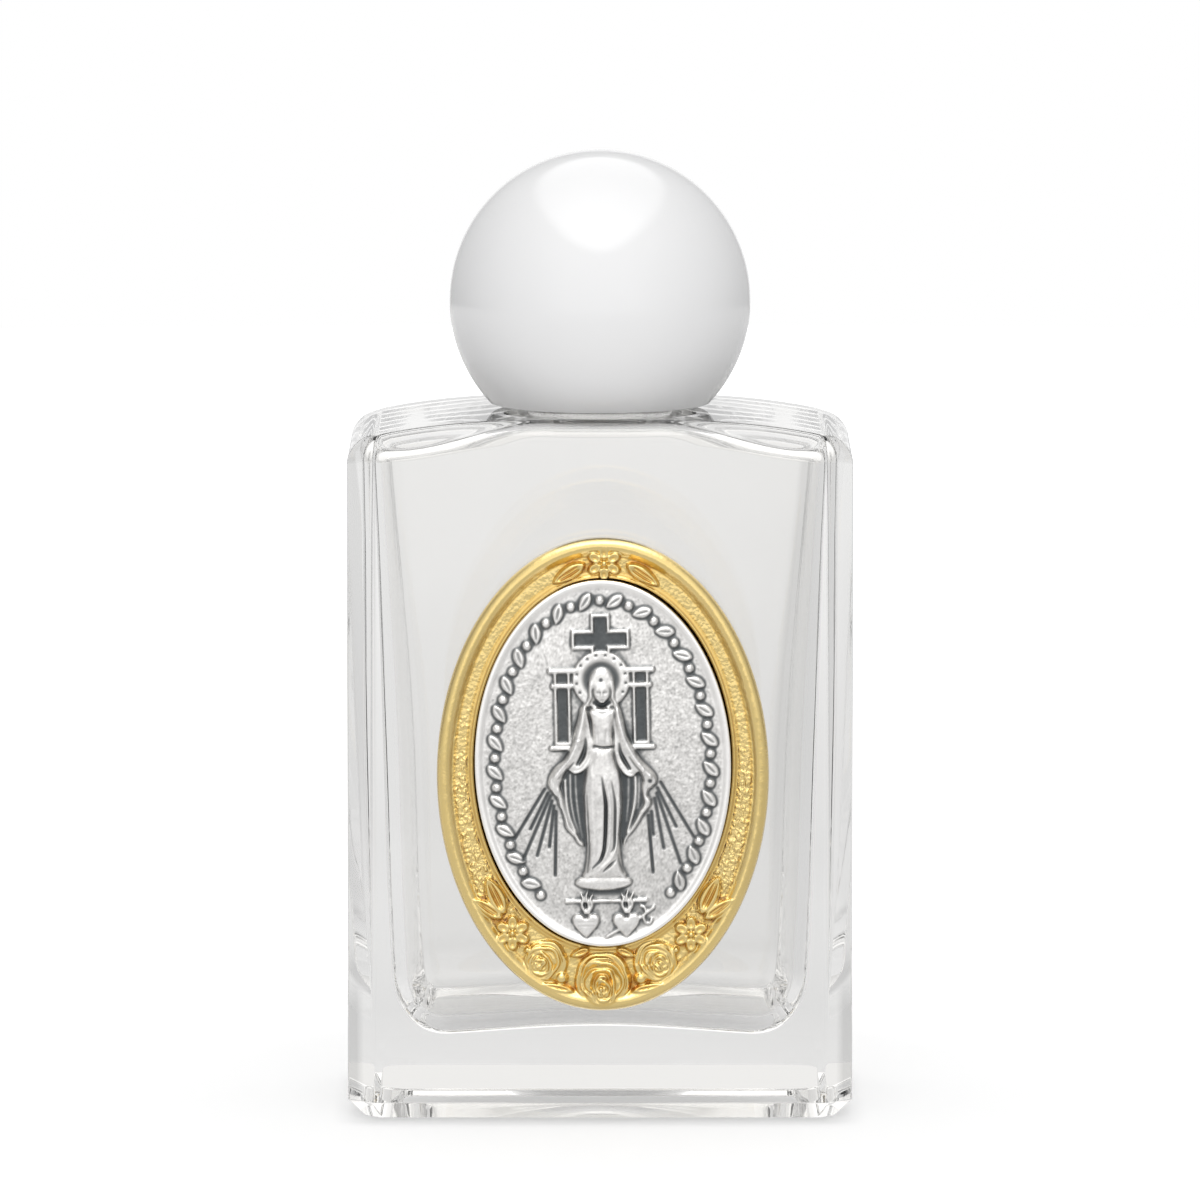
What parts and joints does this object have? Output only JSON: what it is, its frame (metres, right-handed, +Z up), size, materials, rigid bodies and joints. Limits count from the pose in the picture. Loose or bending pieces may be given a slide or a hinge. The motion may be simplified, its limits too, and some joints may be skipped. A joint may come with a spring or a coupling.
{
  "type": "holy water bottle",
  "caption": "Small clear glass flask with chamfered corners, a white ball-shaped screw cap and an oval two-tone devotional medal on its front.",
  "frame": {"origin": "middle of the footprint of the bottle with its medal, on the surface that it stands on", "axes": "+Z up along the neck, the medal faces -Y, +X to the right of someone facing the back"},
  "size_m": [0.044, 0.0308, 0.0837],
  "materials": {
    "clear_glass": "smooth, clear, polished outside",
    "white_plastic": "high gloss, moulded",
    "sleeve_plastic": "satin, ribbed outside",
    "liner_foam": "soft, closed-cell foam",
    "gold_tone_metal": "cast, gold-tone plated, polished rim, darker creases",
    "silver_tone_metal": "struck relief, silver tone, dark antiqued recesses",
    "clear_gel": "clear adhesive"
  },
  "bodies": {
    "bottle": {"glass_bottle": "clear_glass", "medal_frame": "gold_tone_metal", "medal_plate": "silver_tone_metal", "frame_pad": "clear_gel", "plate_glue": "clear_gel"},
    "liner": {"cap_liner": "liner_foam"},
    "cap": {"cap_ball": "white_plastic", "cap_sleeve": "sleeve_plastic"}
  },
  "joints": [
    {"name": "cap_lift", "type": "slide", "parent": "bottle", "child": "liner", "axis": [0, 0, 1], "range_m": [0, 0.0125]},
    {"name": "cap_turn", "type": "hinge", "parent": "liner", "child": "cap", "pos_m": [0, 0.00205, 0.0615], "axis": [0, 0, 1], "range_deg": [0, 1799]}
  ],
  "couplings": [
    {"joint": "cap_lift", "follows": "cap_turn", "m_per_rad": 0.00039789}
  ]
}
